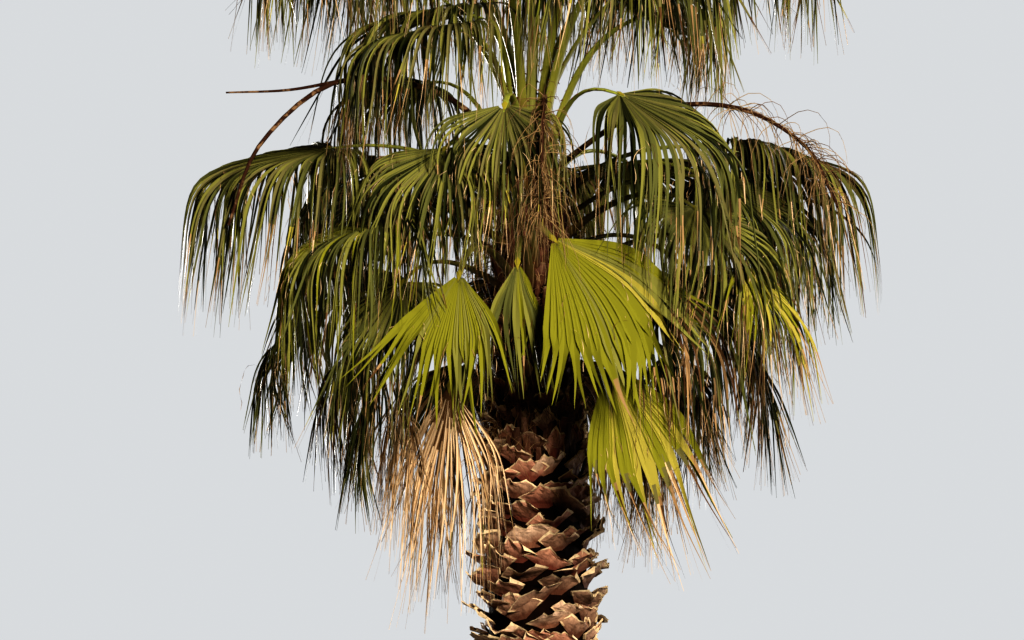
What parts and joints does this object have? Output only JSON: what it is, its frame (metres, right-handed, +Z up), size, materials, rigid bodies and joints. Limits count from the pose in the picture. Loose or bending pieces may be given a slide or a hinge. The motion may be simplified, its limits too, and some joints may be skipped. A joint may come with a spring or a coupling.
{
  "type": "fan palm tree",
  "caption": "Leaning fan palm with a trunk coated in old leaf bases, a round crown of drooping fan fronds, dead fronds hanging below and old arching flower stalks.",
  "frame": {"origin": "centre of the flat cut under the trunk, at ground level", "axes": "+Z up, +Y away from the side that the picture shows, +X to that side's right; the trunk leans slightly towards -X"},
  "size_m": [3.3346, 2.7351, 7.9942],
  "materials": {
    "trunk": "rough fibrous old leaf bases, reddish brown with tan edges",
    "frond": "satin yellow-green pleated fan leaf on a smooth green stalk",
    "dead_frond": "matt dry tan and brown folded leaf",
    "flower_stalk": "matt dry brown stalk"
  },
  "bodies": {
    "root": {"trunk": "trunk", "new_leaf": "frond", "flower_stalk_left": "flower_stalk", "flower_stalk_left_spur": "flower_stalk", "flower_stalk_right": "flower_stalk", "flower_stalk_centre": "flower_stalk", "frond_centre_fan": "frond", "frond_left_fan": "frond", "frond_low_right_fan": "frond", "frond_inner_fan": "frond", "frond_right_front": "frond", "frond_right_front_low": "frond", "frond_right_inner": "frond", "frond_right_yellow": "frond", "frond_far_right_top": "frond", "frond_far_right": "frond", "frond_right_back": "frond", "frond_right_low": "frond", "frond_right_lower": "frond", "frond_right_lowest": "frond", "frond_left_big": "frond", "frond_left_back": "frond", "frond_left_high": "frond", "frond_left_mid": "frond", "frond_left_mid_low": "frond", "frond_left_low_dark": "frond", "frond_left_bottom": "frond", "frond_centre_top": "frond", "frond_centre_left": "frond", "frond_upper_left_front": "frond", "frond_upper_left_inner": "frond", "frond_upper_left": "frond", "frond_upper_left_back": "frond", "frond_top_right_front": "frond", "frond_top_left_front": "frond", "frond_top_back": "frond", "frond_upper_right": "frond", "frond_upper_right_far": "frond", "frond_back_upper_1": "frond", "frond_back_upper_2": "frond", "frond_back_upper_3": "frond", "frond_back_high_1": "frond", "frond_back_high_2": "frond", "frond_back_high_3": "frond", "frond_back_middle_1": "frond", "frond_back_middle_2": "frond", "frond_back_middle_3": "frond", "frond_back_low_1": "frond", "frond_back_low_2": "frond", "frond_back_low_3": "frond", "frond_back_low_4": "frond", "dead_frond_left": "dead_frond", "dead_frond_left_outer": "dead_frond", "dead_frond_right": "dead_frond", "dead_frond_back_right": "dead_frond", "dead_frond_back": "dead_frond", "dead_frond_back_left": "dead_frond"}
  },
  "joints": []
}
